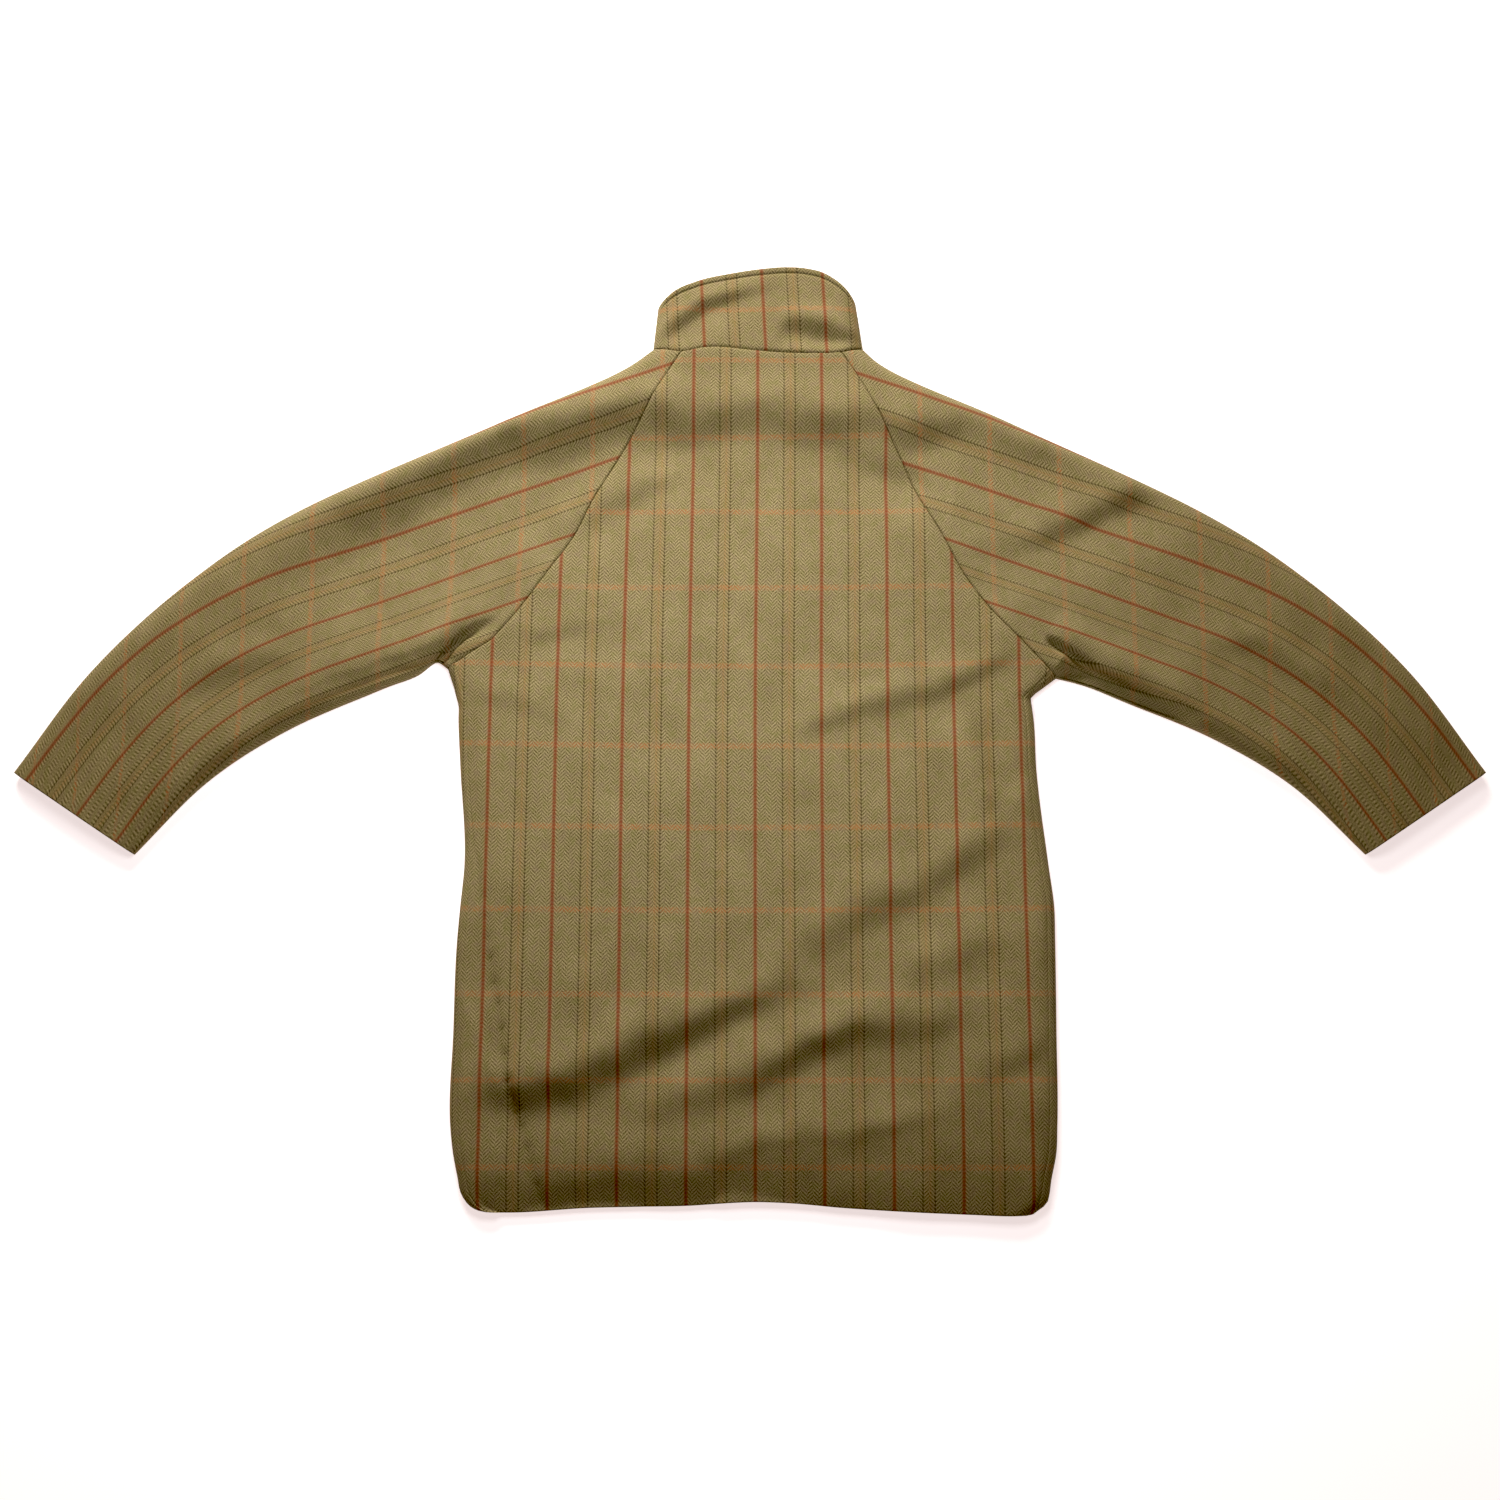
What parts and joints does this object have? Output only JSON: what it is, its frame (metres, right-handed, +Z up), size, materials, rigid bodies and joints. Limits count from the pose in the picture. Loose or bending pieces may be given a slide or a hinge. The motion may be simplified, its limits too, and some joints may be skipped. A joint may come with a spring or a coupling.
{
  "type": "field coat",
  "caption": "Tweed field coat with raglan sleeves and a stand collar, laid flat with its back up, an outer garment for cold and wet weather.",
  "frame": {"origin": "on the surface that the coat lies on, under the middle of its back, on the underside of the lapped fronts", "axes": "+Z up out of the back, +Y towards the collar, +X towards the wearer's right sleeve"},
  "size_m": [1.393, 0.9185, 0.0255],
  "materials": {
    "tweed_back": "olive herringbone wool tweed with a red, ochre and dark overcheck, matt and slightly hairy",
    "tweed_fronts": "olive herringbone wool tweed with a red, ochre and dark overcheck, matt and slightly hairy",
    "tweed_sleeves": "olive herringbone wool tweed with a red, ochre and dark overcheck, matt and slightly hairy",
    "tweed_collar": "olive herringbone wool tweed, two layers on a stiffener, top edge stitched round"
  },
  "bodies": {
    "root": {"back": "tweed_back", "front_left": "tweed_fronts", "front_right": "tweed_fronts", "sleeve_left": "tweed_sleeves", "sleeve_right": "tweed_sleeves", "collar": "tweed_collar"}
  },
  "joints": []
}
